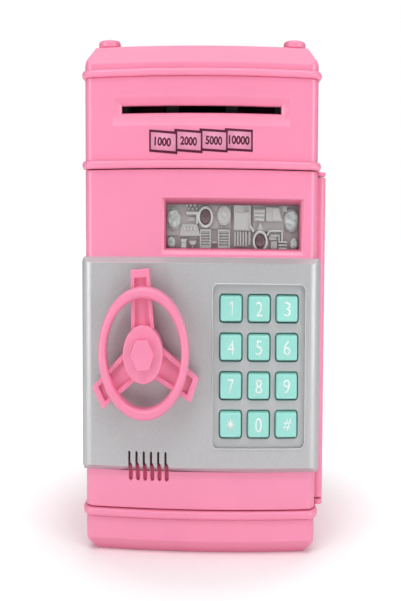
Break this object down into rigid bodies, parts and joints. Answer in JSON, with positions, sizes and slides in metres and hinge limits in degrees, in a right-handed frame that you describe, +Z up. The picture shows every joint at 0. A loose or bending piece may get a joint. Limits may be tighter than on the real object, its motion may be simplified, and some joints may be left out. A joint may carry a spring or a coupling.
{
  "type": "toy safe coin bank",
  "caption": "Toy safe coin bank with a hinged front door, keypad, spoked handwheel latch, banknote slot with motor rollers, relief window and rear battery cover.",
  "frame": {"origin": "middle of the flat underside, on the cabinet's centre lines", "axes": "+Z up, -Y towards the front door, +X to the right as seen from the front"},
  "size_m": [0.1375, 0.1273, 0.1965],
  "materials": {
    "pink_plastic": "moulded, satin",
    "pink_wheel": "moulded, satin",
    "pale_plastic": "moulded, matte",
    "grey_plastic": "moulded, matte",
    "steel": "plain",
    "roller_rubber": "matte",
    "circuit_board": "solder mask",
    "cell_wrap": "printed wrap",
    "silver_paint": "metallic satin paint on plastic",
    "relief_silver": "satin silver",
    "lamp_lens": "tinted lens",
    "mint_keys": "moulded, satin"
  },
  "bodies": {
    "cabinet": {"cabinet_shell": "pink_plastic", "base_tray": "pink_plastic", "plinth_plate": "pink_plastic", "head_housing": "pink_plastic", "roof_cap": "pink_plastic", "corner_plugs": "pink_plastic", "cap_screws": "steel", "base_screws": "steel", "tray_screws": "steel", "mechanism_tray": "grey_plastic", "roller_brackets": "grey_plastic", "feed_motor": "steel", "note_sensor": "circuit_board", "coin_chute": "grey_plastic", "battery_box": "pink_plastic", "battery_cells": "cell_wrap", "battery_contacts": "steel", "hinge_pins": "steel"},
    "battery_cover": {"battery_cover": "pink_plastic", "cover_screw": "steel"},
    "feed_roller": {"feed_shaft": "steel", "feed_rollers": "roller_rubber", "drive_gear": "pale_plastic"},
    "pinch_roller": {"pinch_shaft": "steel", "pinch_rollers": "roller_rubber"},
    "motor_pinion": {"motor_pinion": "pale_plastic"},
    "door": {"door_shell": "pink_plastic", "silver_fascia": "silver_paint", "door_liner": "pale_plastic", "relief_plate": "relief_silver", "indicator_lamps": "lamp_lens", "keypad_membrane": "roller_rubber", "keypad_board": "circuit_board", "speaker": "grey_plastic", "lock_solenoid": "steel", "spindle_bush": "pale_plastic", "door_screws": "steel"},
    "handwheel": {"handwheel": "pink_wheel", "hub_cap": "pink_wheel", "spindle": "steel", "latch_cam": "steel", "cam_screw": "steel"},
    "lock_plunger": {"lock_plunger": "steel"},
    "key_1": {"key_1": "mint_keys"},
    "key_2": {"key_2": "mint_keys"},
    "key_3": {"key_3": "mint_keys"},
    "key_4": {"key_4": "mint_keys"},
    "key_5": {"key_5": "mint_keys"},
    "key_6": {"key_6": "mint_keys"},
    "key_7": {"key_7": "mint_keys"},
    "key_8": {"key_8": "mint_keys"},
    "key_9": {"key_9": "mint_keys"},
    "key_star": {"key_star": "mint_keys"},
    "key_0": {"key_0": "mint_keys"},
    "key_hash": {"key_hash": "mint_keys"}
  },
  "joints": [
    {"name": "battery_cover_slide", "type": "slide", "parent": "cabinet", "child": "battery_cover", "axis": [0, 1, 0], "range_m": [0, 0.012]},
    {"name": "door_swing", "type": "hinge", "parent": "cabinet", "child": "door", "pos_m": [0.0675, -0.041, 0.08], "axis": [0, 0, 1], "range_deg": [0, 110]},
    {"name": "feed_roller_spin", "type": "hinge", "parent": "cabinet", "child": "feed_roller", "pos_m": [0, -0.033, 0.16335], "axis": [1, 0, 0], "continuous": true},
    {"name": "handwheel_turn", "type": "hinge", "parent": "door", "child": "handwheel", "pos_m": [-0.0304, -0.057, 0.0792], "axis": [0, 1, 0], "range_deg": [0, 90]},
    {"name": "lock_plunger_slide", "type": "slide", "parent": "door", "child": "lock_plunger", "axis": [-1, 0, 0], "range_m": [0, 0.003]},
    {"name": "motor_pinion_spin", "type": "hinge", "parent": "cabinet", "child": "motor_pinion", "pos_m": [0.045, -0.0227, 0.157], "axis": [1, 0, 0], "continuous": true},
    {"name": "pinch_roller_spin", "type": "hinge", "parent": "cabinet", "child": "pinch_roller", "pos_m": [0, -0.033, 0.17465], "axis": [1, 0, 0], "continuous": true},
    {"name": "press_key_1", "type": "slide", "parent": "door", "child": "key_1", "axis": [0, 1, 0], "range_m": [0, 0.001], "stiffness_N_per_m": 400},
    {"name": "press_key_2", "type": "slide", "parent": "door", "child": "key_2", "axis": [0, 1, 0], "range_m": [0, 0.001], "stiffness_N_per_m": 400},
    {"name": "press_key_3", "type": "slide", "parent": "door", "child": "key_3", "axis": [0, 1, 0], "range_m": [0, 0.001], "stiffness_N_per_m": 400},
    {"name": "press_key_4", "type": "slide", "parent": "door", "child": "key_4", "axis": [0, 1, 0], "range_m": [0, 0.001], "stiffness_N_per_m": 400},
    {"name": "press_key_5", "type": "slide", "parent": "door", "child": "key_5", "axis": [0, 1, 0], "range_m": [0, 0.001], "stiffness_N_per_m": 400},
    {"name": "press_key_6", "type": "slide", "parent": "door", "child": "key_6", "axis": [0, 1, 0], "range_m": [0, 0.001], "stiffness_N_per_m": 400},
    {"name": "press_key_7", "type": "slide", "parent": "door", "child": "key_7", "axis": [0, 1, 0], "range_m": [0, 0.001], "stiffness_N_per_m": 400},
    {"name": "press_key_8", "type": "slide", "parent": "door", "child": "key_8", "axis": [0, 1, 0], "range_m": [0, 0.001], "stiffness_N_per_m": 400},
    {"name": "press_key_9", "type": "slide", "parent": "door", "child": "key_9", "axis": [0, 1, 0], "range_m": [0, 0.001], "stiffness_N_per_m": 400},
    {"name": "press_key_star", "type": "slide", "parent": "door", "child": "key_star", "axis": [0, 1, 0], "range_m": [0, 0.001], "stiffness_N_per_m": 400},
    {"name": "press_key_0", "type": "slide", "parent": "door", "child": "key_0", "axis": [0, 1, 0], "range_m": [0, 0.001], "stiffness_N_per_m": 400},
    {"name": "press_key_hash", "type": "slide", "parent": "door", "child": "key_hash", "axis": [0, 1, 0], "range_m": [0, 0.001], "stiffness_N_per_m": 400}
  ],
  "couplings": [
    {"joint": "motor_pinion_spin", "follows": "feed_roller_spin", "ratio": -3},
    {"joint": "pinch_roller_spin", "follows": "feed_roller_spin", "ratio": -1.2}
  ]
}
